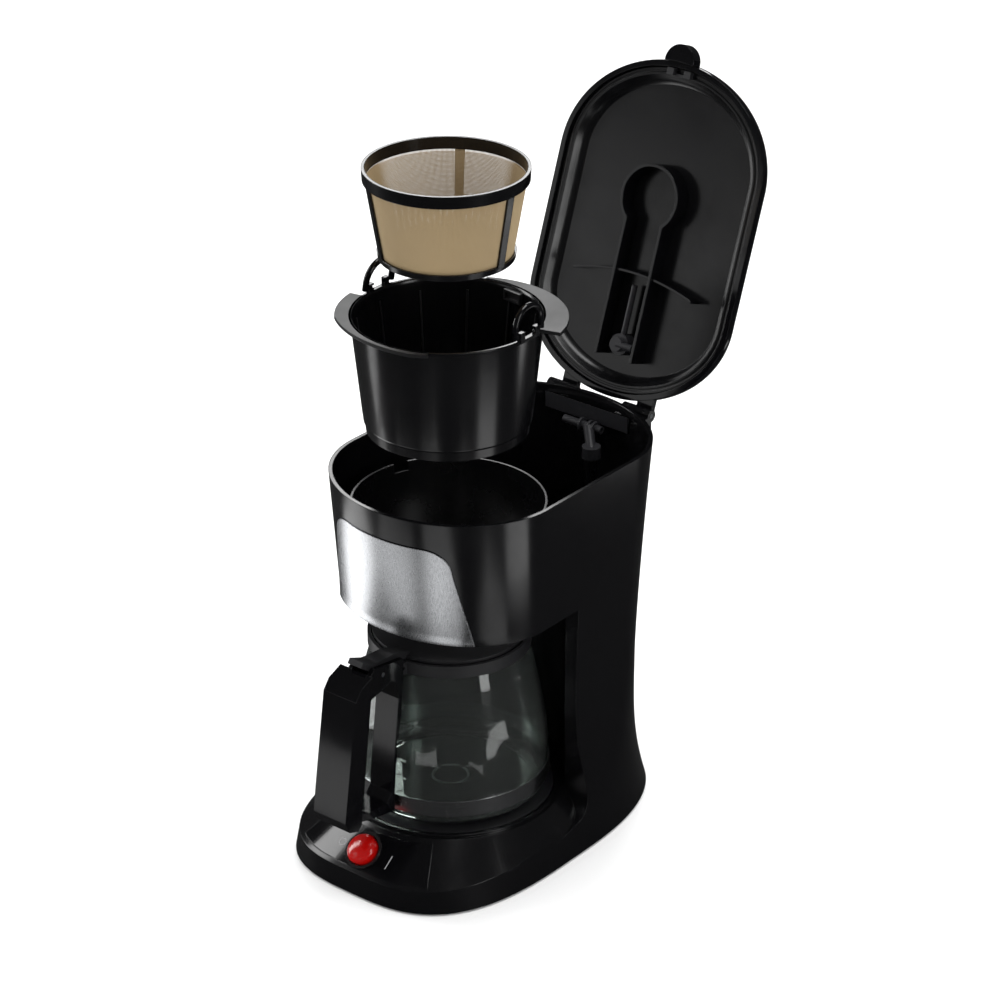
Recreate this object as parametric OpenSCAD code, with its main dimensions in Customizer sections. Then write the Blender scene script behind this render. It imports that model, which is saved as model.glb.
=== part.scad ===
// Drip coffee maker for five to six cups, with its filter basket and mesh
// filter lifted out above the brew well, its lid open and its carafe on the
// warming plate.
// Frame: the origin is on the table, under the axis that the carafe, the
// brew well, the basket and the filter share. X is to the right, Y to the
// back and Z up. Sizes are in millimetres.

/* [Housing] */
// Half width of the foot outline
base_half_w = 84.7; // [82:0.1:102]
// Reach of the foot outline in front of the brew axis
base_front = 99.3; // [94:0.1:120]
// Reach of the foot outline behind the brew axis
base_back = 154; // [150:1:186]
// Half width of the tower at its waist
waist_half_w = 72.3; // [71:0.1:80]
// Reach of the waist behind the brew axis
waist_back = 131.5; // [125:0.5:158]
// Height of the waist
waist_z = 110; // [95:1:135]
// Half width of the rim
rim_half_w = 77.8; // [77:0.1:93]
// Reach of the rim in front of the brew axis
rim_front = 67.2; // [66.5:0.1:80]
// Reach of the brew head's lower edge in front of the brew axis
head_front = 58.8; // [58.6:0.1:66]
// Reach of the rim behind the brew axis
rim_back = 149.2; // [140:0.1:179]
// Height of the rim
rim_z = 254.6; // [245:0.1:306]
// Height of the brew head's underside
head_z = 170; // [167:0.5:175]
// Wall thickness of the mouldings
wall = 2.5; // [2.1:0.1:3]
// Gap between the housing's edge and the table
foot_gap = 1.5; // [1:0.1:4]
// Width of the gap left around pieces that are set into the housing
fit_gap = 0.3; // [0.2:0.05:0.4]

/* [Carafe bay] */
// Radius of the bay around the brew axis
bay_r = 73; // [72:0.5:78]
// Front edge of the tower's side walls, behind the brew axis
bay_edge_y = 36; // [30:1:44]
// Height of the deck that surrounds the warming plate
deck_z = 36.5; // [34:0.5:42]
// Radius at which the deck starts to slope
deck_r = 71; // [70:0.5:73]
// Radius of the warming plate
plate_r = 65.5; // [64:0.5:66]

/* [Brew well and basket] */
// Outer radius of the basket wall at its rim
basket_top_r = 58.4; // [57.5:0.1:58.6]
// Outer radius of the basket wall at its lower seam
basket_low_r = 51.3; // [50.5:0.1:51.6]
// Height of the basket from its base to its rim
basket_h = 74; // [72:0.5:75]
// Thickness of the basket wall
basket_wall = 1.6; // [1.3:0.1:2]
// Radial gap between the basket and the brew well
well_gap = 1.1; // [0.8:0.1:1.3]
// Height of the brew well's top edge, on which the basket's wings rest
well_top_z = 237; // [236:0.5:239]
// How far the basket is held above its seat
basket_lift = 121.8; // [60:0.1:150]

/* [Mesh filter] */
// Outer radius of the filter's rim
filter_r = 50; // [46:0.5:51]
// Outer radius of the filter's lower ring
filter_low_r = 41; // [35:0.5:43]
// Height of the filter
filter_h = 56; // [46:0.5:58]
// How far the filter is held above its seat in the basket
filter_lift = 101.9; // [60:0.1:150]

/* [Carafe] */
// Widest outer radius of the glass
glass_r = 62; // [56:0.5:62.5]
// Wall of the glass
glass_wall = 2; // [1.6:0.1:2.6]
// Height of the glass from its base to its lip
glass_h = 107; // [100:1:108]
// Reach of the handle in front of the brew axis
handle_reach = 116; // [108:1:130]
// Width of the handle's grip
grip_w = 26; // [22:1:32]

/* [Lid] */
// Angle at which the lid stands open
lid_open = 110; // [80:1:115]
// Height of the closed lid above the rim
lid_h = 16.5; // [15.5:0.5:20]

/* [Hidden] */
$fn = 64;
eps = 0.01;

black = "#1b1b1e";
gloss = "#0c0c0e";
steel = "#b9bbbd";
zinc = "#9a9ea3";

// ---- Plan outline of the housing, at any height ----

side_steps = 24;
base_back_c = 30;
tower_back_c = 88;
base_front_c = 24;
skirt_draft = 0.14;
skirt_top = 30;

function mix(a, b, t) = a + (b - a) * t;
function clamp01(t) = max(0, min(1, t));
function flare(z) = z < waist_z ? pow((waist_z - z) / waist_z, 1.7) : 0;
function spread(z) =
    z > waist_z ? pow((z - waist_z) / (rim_z - waist_z), 1.33) : 0;
function half_w(z) = waist_half_w + (base_half_w - waist_half_w) * flare(z)
    + (rim_half_w - waist_half_w) * spread(z);
function back_y(z) = waist_back + (base_back - waist_back) * flare(z)
    + (rim_back - waist_back) * spread(z);
function back_c(z) =
    mix(min(tower_back_c, waist_back - 43), base_back_c, flare(z));
function front_t(z) = clamp01((z - skirt_top) / (head_z - skirt_top));
function front_c(z) = mix(base_front_c, 0, front_t(z));
function front_y(z) = z >= head_z
    ? -mix(head_front, rim_front, (z - head_z) / (rim_z - head_z))
    : -mix(base_front - skirt_draft * min(z, skirt_top), head_front, front_t(z));
function root(v, n) = sign(v) * pow(abs(v), 2 / n);

// One end of the outline: from angle a0, half an ellipse of power n about
// (0, c) that reaches w to the sides and b from c
function half_ring(w, c, b, n, a0) = [
    for (i = [0:side_steps]) let (a = a0 + 180 * i / side_steps)
        [w * root(cos(a), n), c + b * root(sin(a), n)]
];
// The housing's outline at height z, taken in by off all round
function outline(z, off = 0) = concat(
    half_ring(half_w(z) - off, back_c(z), back_y(z) - off - back_c(z),
        mix(2, 2.5, flare(z)), 0),
    half_ring(half_w(z) - off, front_c(z), front_c(z) - front_y(z) - off,
        mix(3, 2, front_t(z)), 180)
);
function at_z(ring, z) = [for (p = ring) [p[0], p[1], z]];

// A closed solid through rings of equally many points, lowest first
module skin(rings) {
    n = len(rings[0]);
    m = len(rings);
    polyhedron(
        points = [for (r = rings) each r],
        faces = concat(
            [[for (j = [0:n - 1]) j], [for (j = [n - 1:-1:0]) (m - 1) * n + j]],
            [for (i = [0:m - 2], j = [0:n - 1], side = [0, 1])
                let (a = i * n + j, b = i * n + (j + 1) % n)
                side == 0 ? [a, a + n, b + n] : [a, b + n, b]]
        )
    );
}
module loft(zs, off = 0) skin([for (z = zs) at_z(outline(z, off), z)]);
function levels(z0, z1, count) = [for (i = [0:count]) mix(z0, z1, i / count)];
tower_levels = levels(70, rim_z, 10);
// Where the tower's back wall lies at x, at a height above the waist
function back_at(x, z, off = 0) = back_c(z) + (back_y(z) - off - back_c(z))
    * sqrt(1 - pow(x / (half_w(z) - off), 2));

module tube(r_out, r_in, z0, z1)
    translate([0, 0, z0]) difference() {
        cylinder(r = r_out, h = z1 - z0);
        translate([0, 0, -1]) cylinder(r = r_in, h = z1 - z0 + 2);
    }
module disc(r, z0, z1) translate([0, 0, z0]) cylinder(r = r, h = z1 - z0);
module box(lo, hi) translate(lo) cube(hi - lo);
// A cylinder along X or Y, centred on at
module rod_x(at, r, len) translate(at) rotate([0, 90, 0])
    cylinder(r = r, h = len, center = true);
module rod_y(at, r, len) translate(at) rotate([90, 0, 0])
    cylinder(r = r, h = len, center = true);
// Extrudes a (y, z) drawing along X, to width w
module along_x(w) rotate([90, 0, 90]) linear_extrude(w, center = true)
    children();
module both_sides() { children(); mirror([1, 0, 0]) children(); }

// ---- Base and tower ----

deck_side = 93;
deck_front = base_front + 17.7;
deck_power = 3.2;
deck_steps = 96;
function deck_reach(a) = pow(pow(abs(cos(a)) / deck_side, deck_power)
    + pow(abs(sin(a)) / deck_front, deck_power), -1 / deck_power);
function turn(i) = 360 * i / deck_steps;
// Everything under the deck: flat inside deck_r, then sloping to the edges
module deck_solid(drop = 0) translate([0, 0, -drop]) skin([
    [for (i = [0:deck_steps - 1]) let (a = turn(i), r = deck_reach(a))
        [r * cos(a), r * sin(a), 0]],
    [for (i = [0:deck_steps - 1]) let (a = turn(i))
        [deck_r * cos(a), deck_r * sin(a), deck_z]]
]);

// Side view of the space in front of the tower, under the brew head
bay_sweep = 5;
bay_round = 14;
module bay_profile(shift = 0) {
    low_y = bay_edge_y + bay_sweep;
    z_low = deck_z - 1;
    polygon(concat(
        [[-150, 0], [-150, head_z + shift], [bay_edge_y + shift, head_z + shift]],
        [for (i = [0:8]) let (t = i / 8)
            [bay_edge_y + shift + bay_sweep * (1 - cos(180 * t)) / 2,
             mix(80, z_low, t)]],
        [for (i = [1:6]) let (a = -15 * i)
            [low_y - bay_round + (bay_round + shift) * cos(a),
             z_low + (bay_round + shift) * sin(a)]],
        [[0, 16 - shift]]
    ));
}
module bay_space(shift = 0) {
    along_x(260) bay_profile(shift);
    disc(bay_r + shift, deck_z - (shift > 0 ? wall : 0), head_z + shift);
}

tank_z = 57.5;
floor_t = 2.5;
ledge_z = 50;
boss_at = [[66, -42], [-66, -42], [60, 98], [-60, 98]];
boss_r = 4;
foot_at = [[52, -72], [-52, -72], [52, 124], [-52, 124]];
cover_t = 2.5;
hose_y = 115;
gland_z = 20;
gland_y = back_y(gland_z) - 2.2;
gland_r = 6;

module tank_loft(off) loft(levels(tank_z, rim_z + 1, 10), off);
module tank_cavity() difference() {
    tank_loft(wall);
    bay_space(wall);
}
module base_cavity() {
    intersection() {
        loft([-1, 6, 13, 20, 28, deck_z], wall);
        deck_solid(2.8);
    }
    difference() {
        intersection() {
            loft([-1, 6, 13, 20, 28, 36, 43, ledge_z], wall);
            box([-120, bay_edge_y + bay_sweep + wall, -1],
                [120, 220, ledge_z]);
        }
        disc(bay_r + wall, deck_z - 2.8, ledge_z + 1);
    }
    box([-44, hose_y - 18, ledge_z - 1], [44, hose_y + 9, tank_z + 1]);
}

hinge_y = rim_back + 3.3;
hinge_z = rim_z - 5.4;
pin_r = 1.5;
ear_r = 4;
knuckle_x = [24, 36];
knuckle_gap = 0.5;
ear_w = 4.5;
module ear_pair() for (x = [knuckle_x[0] - knuckle_gap - ear_w / 2,
        knuckle_x[1] + knuckle_gap + ear_w / 2]) {
    rod_x([x, hinge_y, hinge_z], ear_r, ear_w);
    box([x - ear_w / 2, back_at(x + ear_w / 2, hinge_z - 12, 1.2), hinge_z - 12],
        [x + ear_w / 2, hinge_y, hinge_z]);
}

module housing() color(black) difference() {
    union() {
        difference() {
            loft(concat(levels(foot_gap, 57, 7), tower_levels));
            difference() {
                bay_space();
                deck_solid();
            }
            tank_cavity();
            base_cavity();
        }
        intersection() {
            for (b = boss_at) translate([b[0], b[1], 0])
                disc(boss_r, foot_gap + cover_t, ledge_z + 1);
            loft(levels(foot_gap, 60, 7), 1);
            union() {
                deck_solid(1);
                box([-120, bay_edge_y + bay_sweep, 0], [120, 220, ledge_z + 1]);
            }
        }
        tube(69, plate_r + 0.7, deck_z - 1, deck_z + 1.7);
        both_sides() ear_pair();
    }
    disc(60, deck_z - 6, deck_z + 5);
    disc(well_foot_r + 0.3, head_z - 1, head_z + wall + 1);
    for (b = boss_at) translate([b[0], b[1], 0]) cylinder(r = 1.6, h = 18);
    rod_x([0, hinge_y, hinge_z], pin_r + 0.05, 100);
    both_sides() rod_x([30, hinge_y, hinge_z], 5.2, 13);
    rod_y([0, gland_y, gland_z], gland_r + 0.1, 30);
    rod_y([0, gland_y + 10, gland_z], 10, 20);
    control_pocket(0.15);
    in_switch() translate([0, 0, -8]) cylinder(r = 11.3, h = 12);
}

module bottom_cover() color(black) difference() {
    translate([0, 0, foot_gap]) linear_extrude(cover_t)
        polygon(outline(foot_gap + cover_t, wall + fit_gap));
    for (b = boss_at) translate([b[0], b[1], 0]) {
        cylinder(r = 1.7, h = 10);
        cylinder(r = 3.6, h = foot_gap + 1.3);
    }
    for (f = foot_at) translate([f[0], f[1], 0]) cylinder(r = 2.5, h = 10);
    for (x = [-30:10:30]) translate([x, 20, 0])
        linear_extrude(10) square([3, 44], center = true);
}
module rubber_feet() color("#2a2a2a") for (f = foot_at)
    translate([f[0], f[1], 0]) {
        cylinder(r1 = 6.4, r2 = 7, h = foot_gap);
        cylinder(r = 2.4, h = foot_gap + cover_t + 1);
    }
module base_screws() color(zinc) for (b = boss_at)
    translate([b[0], b[1], foot_gap + 0.1]) difference() {
        union() {
            cylinder(r = 3.2, h = 1.2);
            cylinder(r = 1.5, h = 14);
        }
        translate([0, 0, -1]) linear_extrude(1.5)
            square([4.2, 0.8], center = true);
        translate([0, 0, -1]) linear_extrude(1.5)
            square([0.8, 4.2], center = true);
    }
module cord_gland() color("#232326") difference() {
    union() {
        rod_y([0, gland_y - 5, gland_z], gland_r, 10);
        rod_y([0, gland_y + 1.5, gland_z], 8.5, 3);
        rod_y([0, gland_y - 7, gland_z], 8, 3);
    }
    rod_y([0, gland_y, gland_z], 3.6, 40);
}

// ---- Water tank and brew well ----

module tank_floor() color("#202024") difference() {
    translate([0, 0, tank_z]) linear_extrude(floor_t)
        polygon(outline(tank_z, wall + fit_gap + 0.2));
    translate([0, 0, -1]) bay_space(wall + fit_gap);
    for (x = [-hose_x, hose_x]) translate([x, hose_y, 0])
        cylinder(r = 5.1, h = 100);
}
module tube_grommets() color("#7d7d80") for (x = [-hose_x, hose_x])
    translate([x, hose_y, tank_z - 1.5]) difference() {
        union() {
            cylinder(r = 5, h = floor_t + 3);
            cylinder(r = 7, h = 1.4);
        }
        translate([0, 0, -1]) cylinder(r = 3.6, h = 10);
    }

function basket_r(h) = mix(basket_low_r, basket_top_r, (h - 6) / (basket_h - 6));
wing_t = 2.2;
seat_z = well_top_z + wing_t - basket_h;
function well_r(z) = basket_r(z - seat_z) + well_gap;
well_wall = 1.4;
well_foot_r = well_r(head_z) + well_wall;
well_floor_z = head_z + wall;
module brew_well() color("#141416") {
    difference() {
        rotate_extrude() polygon([
            [well_r(head_z), head_z - 0.5],
            [well_r(head_z) + well_wall, head_z - 0.5],
            [well_r(head_z) + well_wall, well_floor_z + 1],
            [well_r(head_z) + well_wall + 1.2, well_floor_z + 1],
            [well_r(head_z) + well_wall + 1.2, well_floor_z + 3],
            [well_r(well_floor_z + 3) + well_wall, well_floor_z + 3],
            [well_r(well_top_z) + well_wall, well_top_z],
            [well_r(well_top_z), well_top_z]
        ]);
        // Overflow gaps in the top edge
        for (a = [20, 160]) rotate([0, 0, a])
            box([40, -5, well_top_z - 6], [70, 5, well_top_z + 5]);
    }
}
module well_seal() color("#77777a")
    tube(well_foot_r + 1.1, well_foot_r + 0.35, well_floor_z, well_floor_z + 1);

// ---- Warming plate and heater ----

gasket_t = 0.7;
plate_t = 1.2;
plate_low = deck_z + gasket_t;
plate_top = plate_low + plate_t;
heater_r = 40;
heater_gap = 70;
water_gap = heater_gap - 4;
water_z = 23.8;
hose_x = heater_r * sin(water_gap / 2);
heater_end_y = heater_r * cos(water_gap / 2);
hose_start = heater_end_y + 5;
module warming_plate() color("#2b2b2d") {
    tube(plate_r, 58, plate_low, plate_top);
    disc(58.5, plate_low, plate_top - 0.5);
}
module plate_gasket() color("#8a3b2e") tube(65, 60.6, deck_z, plate_low);
module arc_sweep(r, gap) rotate([0, 0, 90 + gap / 2])
    rotate_extrude(angle = 360 - gap) translate([r, 0]) children();
module heater_element() color("#a9abad") {
    translate([0, 0, plate_low - 9]) arc_sweep(heater_r, heater_gap)
        translate([-6, 0]) square([12, 9]);
}
module heater_tube() color("#c0c2c4") difference() {
    union() {
        translate([0, 0, water_z]) arc_sweep(heater_r, water_gap)
            circle(r = 4.2);
        both_sides() rod_y([hose_x, heater_end_y + 4, water_z],
            hose_bore - 0.05, 13);
    }
    translate([0, 0, water_z]) arc_sweep(heater_r, water_gap)
        circle(r = 2.8);
    both_sides() rod_y([hose_x, heater_end_y + 6, water_z], 2.4, 15);
}
module heater_clamp() color(zinc) difference() {
    box([-50, -6, water_z - 6], [50, 6, water_z - 4.4]);
    disc(2.4, 10, 30);
}
module clamp_screw() color(zinc) {
    disc(2.2, water_z - 8, plate_low - 6.2);
    disc(4.2, water_z - 8.5, water_z - 6);
}
module thermostat() color("#3c3a36") {
    disc(8.5, plate_low - 6, plate_low);
    both_sides() box([8, -3, plate_low - 5], [14, 3, plate_low - 4]);
}
module thermal_fuse() color("#d8d4c4") {
    rod_x([0, -22, plate_low - 2.25], 2.2, 22);
    rod_x([0, -22, plate_low - 2.25], 0.6, 34);
}
module check_valve() color("#e4e0d2") translate([-hose_x, hose_y, 0])
    difference() {
        union() {
            disc(6.6, tank_z - 13, tank_z - 1.6);
            disc(3.4, tank_z - 19, tank_z + 3);
        }
        disc(1.8, 0, 100);
    }
hose_r = 5;
hose_bore = 3.5;
elbow_r = 11;
// An elbowed hose from the heater's tube end to a riser behind it
module elbow_hose(x, z_top) difference() {
    hose_run(x, z_top, hose_r, 0);
    hose_run(x, z_top, hose_bore, 1);
}
elbow_thinner = 0.2;
elbow_lap = 0.6;
module hose_run(x, z_top, r, more) {
    y0 = hose_start - more;
    y1 = hose_y - elbow_r + elbow_lap;
    rod_y([x, (y0 + y1) / 2, water_z], r, y1 - y0);
    translate([x, hose_y - elbow_r, water_z + elbow_r]) rotate([0, 90, 0])
        rotate_extrude(angle = 90)
            translate([elbow_r, 0]) circle(r = r - elbow_thinner);
    translate([x, hose_y, 0])
        disc(r, water_z + elbow_r - elbow_lap, z_top + more);
}
module inlet_hose() color("#c9c6bd") elbow_hose(-hose_x, tank_z - 13.2);
module riser_hose() color("#c9c6bd") elbow_hose(hose_x, tank_z - 2);
riser_top = rim_z - 26;
module riser_tube() color("#e9e6dc") difference() {
    translate([hose_x, hose_y, 0]) {
        disc(3.4, tank_z - 12, riser_top);
        disc(4.6, riser_top - 8, riser_top);
    }
    translate([hose_x, hose_y, 0]) disc(2.2, 0, riser_top + 1);
}
nozzle_r = 3.4;
nozzle_at = [7, 131, riser_top + 11];
module outlet_nozzle() color(black) difference() {
    union() {
        translate([hose_x, hose_y, 0]) {
            disc(6, riser_top + 0.1, riser_top + 8);
            disc(2.1, riser_top - 6, riser_top + 1);
        }
        // Arm to the back, ended by a cross bar and a hook
        hull() {
            translate([hose_x, hose_y, riser_top + 5])
                sphere(r = nozzle_r, $fn = 24);
            translate(nozzle_at) sphere(r = nozzle_r, $fn = 24);
        }
        rod_x(nozzle_at - [5, -1, 0], 2.6, 30);
        for (dx = [-6, 1, 4.5]) rod_x(nozzle_at + [dx, 1, 0], 4.4, 1.6);
        translate(nozzle_at + [-2, 1, -7]) rotate([0, 90, 0])
            rotate_extrude(angle = 180) translate([7, 0]) circle(r = 1.9);
    }
    translate([nozzle_at[0] + 10, nozzle_at[1] + 1, nozzle_at[2]])
        rotate([0, 90, 0]) cylinder(r = 1.5, h = 20, center = true);
}
module hinge_bracket() color("#2f2f33") intersection() {
    tank_loft(wall + 0.1);
    bracket_bar();
}
module bracket_bar() {
    y = rim_back - 11.6;
    along_x(66) polygon([[y, hinge_z - 9], [y + 2, hinge_z - 9],
        [y + 2, hinge_z + 0.5], [y, hinge_z + 2]]);
    along_x(58) polygon([[y + 1.9, hinge_z - 9], [y + 12, hinge_z - 9],
        [y + 12, hinge_z - 7.4], [y + 1.9, hinge_z - 7.4]]);
}
module hinge_pins() color(steel) both_sides()
    rod_x([(knuckle_x[0] + knuckle_x[1]) / 2, hinge_y, hinge_z], pin_r, 22);

// ---- Front panel, control panel and switch ----

panel_t = 0.8;
panel_top = rim_z - 18.3;
panel_low = head_z + 0.4;
module front_panel() color(steel) intersection() {
    difference() {
        loft(tower_levels, -panel_t);
        loft(tower_levels, -0.05);
    }
    translate([0, -20, 0]) rotate([90, 0, 0]) linear_extrude(80)
        front_shape();
}
// A panel with a wide foot and two rounded upper corners
module front_shape() {
    r = 15;
    w_low = 54;
    w_top = 45.5;
    union() {
        polygon([[-w_low, panel_low], [w_low, panel_low],
            [w_top, panel_top - r], [-w_top, panel_top - r]]);
        translate([-(w_top - r), panel_top - r - 1])
            square([2 * (w_top - r), r + 1]);
        for (s = [-1, 1]) translate([s * (w_top - r), panel_top - r])
            circle(r = r);
    }
}

panel_half = 31;
panel_in_r = 74;
control_t = 1.5;
// Seen from above: a sector of the deck in front of the plate
module control_shape(gap) intersection() {
    polygon(outline(12, 3.2 - gap));
    difference() {
        polygon([[0, 0],
            [-160 * sin(panel_half), -160 * cos(panel_half)],
            [160 * sin(panel_half), -160 * cos(panel_half)]]);
        circle(r = panel_in_r - gap);
    }
}
module control_pocket(gap) intersection() {
    difference() {
        deck_solid(-3);
        deck_solid(control_t);
    }
    linear_extrude(60) control_shape(gap);
}
module control_panel() color(gloss) difference() {
    intersection() {
        difference() {
            deck_solid();
            deck_solid(control_t - 0.1);
        }
        linear_extrude(60) control_shape(0);
    }
    in_switch() translate([0, 0, -10]) cylinder(r = 11.3, h = 20);
}

switch_y = -85;
deck_slope = deck_z / (deck_front - deck_r);
switch_z = deck_z - (-switch_y - deck_r) * deck_slope;
button_r = 10;
rock = 7;
rock_z = -1.6;
rock_pin_r = 1;
// Local frame of the switch: X across, Y up the slope, Z out of the deck
module in_switch() translate([0, switch_y, switch_z])
    rotate([atan(deck_slope), 0, 0]) children();
module switch_bezel() color("#3a3a3d") in_switch() difference() {
    union() {
        tube(12.6, 10.7, 0.15, 1.1);
        tube(11.2, 10.7, -4, 0.2);
    }
    rod_y([0, 0, rock_z], rock_pin_r + 0.05, 30);
}
module switch_body() color("#26262a") in_switch() difference() {
    union() {
        disc(10.85, -7, -4.2);
        translate([0, 0, -13]) linear_extrude(6.1)
            square([20, 15], center = true);
        for (x = [-6, 0, 6]) translate([x, 0, -18]) linear_extrude(6)
            square([0.8, 4.8], center = true);
    }
    disc(8.6, -6.2, 0);
}
module switch_button() color("#d0120f") in_switch()
    translate([0, 0, rock_z]) rotate([0, -rock, 0]) translate([0, 0, -rock_z]) {
    rod_y([0, 0, rock_z], rock_pin_r, 21.6);
    rotate_extrude() polygon(concat(
        [[0, -2.6], [8, -2.6], [8, -1.6], [button_r, -1.6], [button_r, 3.2]],
        [for (i = [1:9]) let (a = 10 * i)
            [(button_r - 0.2) * cos(a), 3.2 + 4.6 * sin(a)]]
    ));
}
module terminal_block() color("#d9d6cc") difference() {
    box([-52, 109, foot_gap + cover_t], [-34, 119, foot_gap + cover_t + 9]);
    for (x = [-48, -43, -38]) translate([x, 114, 8]) cylinder(r = 1.4, h = 10);
}

// ---- Lid, drawn closed and then turned open ----

lid_gap = 0.4;
lid_low = rim_z + lid_gap;
module in_lid() translate([0, hinge_y, hinge_z]) rotate([-lid_open, 0, 0])
    translate([0, -hinge_y, -hinge_z]) children();
lid_outside = [[0, -0.4], [0.1, -0.9], [0.26, -0.9], [0.45, 0.3],
    [0.63, 3.4], [0.79, 8], [0.91, 15], [0.97, 24], [1, 36]];
lid_inside = [[-0.06, 3], [0.1, 3.2], [0.44, 3.6], [0.6, 6], [0.71, 10.5],
    [0.81, 17], [0.86, 26]];
// Rings as [share of the lid's height, inset from the rim outline]
function lid_rings(rows) = [for (r = rows)
    at_z(outline(rim_z, r[1]), lid_low + r[0] * lid_h)];
liner_z = lid_low + 10;
liner_t = 1.6;
tab_r = 11;
tab_drop = 4;
module lid_shell() color(gloss) in_lid() difference() {
    union() {
        difference() {
            union() {
                skin(lid_rings(lid_outside));
                finger_tab();
                both_sides() box([knuckle_x[0],
                    back_at(knuckle_x[1], rim_z, 1.5), lid_low + 0.2],
                    [knuckle_x[1], hinge_y + 3.6, lid_low + 4]);
            }
            skin(lid_rings(lid_inside));
        }
        both_sides() {
            rod_x([30, hinge_y, hinge_z], ear_r, knuckle_x[1] - knuckle_x[0]);
            box([knuckle_x[0], hinge_y - 2, hinge_z],
                [knuckle_x[1], hinge_y + 3.6, lid_low + 3]);
        }
    }
    rod_x([0, hinge_y, hinge_z], pin_r + 0.1, 100);
}
module finger_tab() difference() {
    translate([0, -rim_front - 1, lid_low - tab_drop])
        cylinder(r = tab_r, h = tab_drop + 4);
    translate([0, 0, lid_low - tab_drop - 1]) linear_extrude(tab_drop + 1.2)
        polygon(outline(rim_z, -0.8));
}
module lid_liner() color(black) in_lid() difference() {
    union() {
        translate([0, 0, lid_low + 2.6]) linear_extrude(1.8)
            polygon(outline(rim_z, 3.8));
        skin([at_z(outline(rim_z, 8), lid_low + 2.6),
            at_z(outline(rim_z, 11.5), liner_z + liner_t)]);
    }
    skin([at_z(outline(rim_z, 9.2), lid_low + 2),
        at_z(outline(rim_z, 10.6), lid_low + 6),
        at_z(outline(rim_z, 14.2), liner_z)]);
}
module keyhole(grow) {
    translate([0, 20]) circle(r = 20 + grow);
    translate([-13 - grow, 30]) square([26 + 2 * grow, 96]);
}
channel_low = lid_low - 3;
module lid_channel() color(gloss) in_lid() {
    translate([0, 0, channel_low]) linear_extrude(liner_z - channel_low)
        difference() {
            keyhole(2);
            keyhole(0);
            translate([-20, 125]) square([40, 10]);
        }
    // Cross vane that keeps steam off the hinge end
    translate([0, 0, lid_low - 1]) linear_extrude(liner_z - lid_low + 1)
        intersection() {
            translate([0, 220]) difference() {
                circle(r = 152, $fn = 128);
                circle(r = 150.4, $fn = 128);
            }
            translate([-47, 60]) square([94, 40]);
        }
}
module lid_nozzle() color(black) in_lid() {
    translate([0, 116, 0]) {
        disc(7, liner_z - 9, liner_z);
        disc(4.6, liner_z - 13, liner_z - 8.9);
    }
    rod_y([0, 94, liner_z - 6], 2, 34);
    rod_x([6, 116, liner_z - 11], 2.4, 12);
}
module lid_latch() color(black) in_lid() {
    y = -rim_front + 3.9;
    box([-9, y, lid_low - 1.5], [-4, y + 4.5, lid_low + 2.5]);
    box([4, y, lid_low - 1.5], [9, y + 4.5, lid_low + 2.5]);
    box([-9, y + 3, lid_low + 0.5], [9, y + 4.5, lid_low + 2.5]);
}
// ---- Basket ----

basket_z = seat_z + basket_lift;
module in_basket() translate([0, 0, basket_z]) children();
floor_h = 4;
rib_h = 6;
valve_r = 6;
loop_x = basket_top_r - 0.4;
loop_y = 4.5;
loop_half = 12;
loop_rod = 2;
loop_z = basket_h + 2.7;
left_lean = 10;
function wedge(a0, a1) = concat([[0, 0]],
    [for (i = [0:6]) let (a = mix(a0, a1, i / 6)) [120 * cos(a), 120 * sin(a)]]);
// A crescent from angle a0 to a1, whose outer arc is shifted by d towards a
module wing(a0, a1, r, d, a) intersection() {
    difference() {
        translate([d * cos(a), d * sin(a)]) circle(r = r, $fn = 128);
        circle(r = basket_top_r - 1);
    }
    polygon(wedge(a0, a1));
    polygon(outline(well_top_z, wall + 1.3));
}
module basket() color(black) in_basket() difference() {
    union() {
        rotate_extrude() polygon([
            [valve_r, floor_h - 2], [basket_low_r - 3, floor_h - 2],
            [basket_low_r - 2.6, 6.2], [basket_low_r, 6.2],
            [basket_top_r, basket_h], [basket_top_r - basket_wall, basket_h],
            [basket_low_r - basket_wall, 6 + basket_wall],
            [basket_low_r - 5, floor_h], [valve_r, floor_h]
        ]);
        translate([0, 0, basket_h - wing_t]) linear_extrude(wing_t) {
            wing(16, 106, basket_top_r + 1.6, 13, 25);
            wing(191, 299, basket_top_r + 2.6, 6.5, 215);
        }
        // Rim band and the bead under it
        tube(basket_top_r + 1.1, basket_top_r - 1.2, basket_h - 2.2, basket_h);
        rotate([0, 0, 83]) basket_clip();
        for (i = [0:11]) rotate([0, 0, 30 * i + 27])
            translate([0, 0, 12]) multmatrix([[1, 0, 0.104, 0], [0, 1, 0, 0],
                [0, 0, 1, 0]]) translate([basket_low_r - 2.2, -0.6, 0])
                    cube([1.6, 1.2, 54]);
        for (i = [0:5]) rotate([0, 0, 60 * i])
            box([14, -1, floor_h - 0.5], [42, 1, floor_h + rib_h]);
        both_sides() loop_ear();
    }
    both_sides()
        rod_y([loop_x, loop_y, loop_z], pivot_r + 0.06, 40);
}
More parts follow.
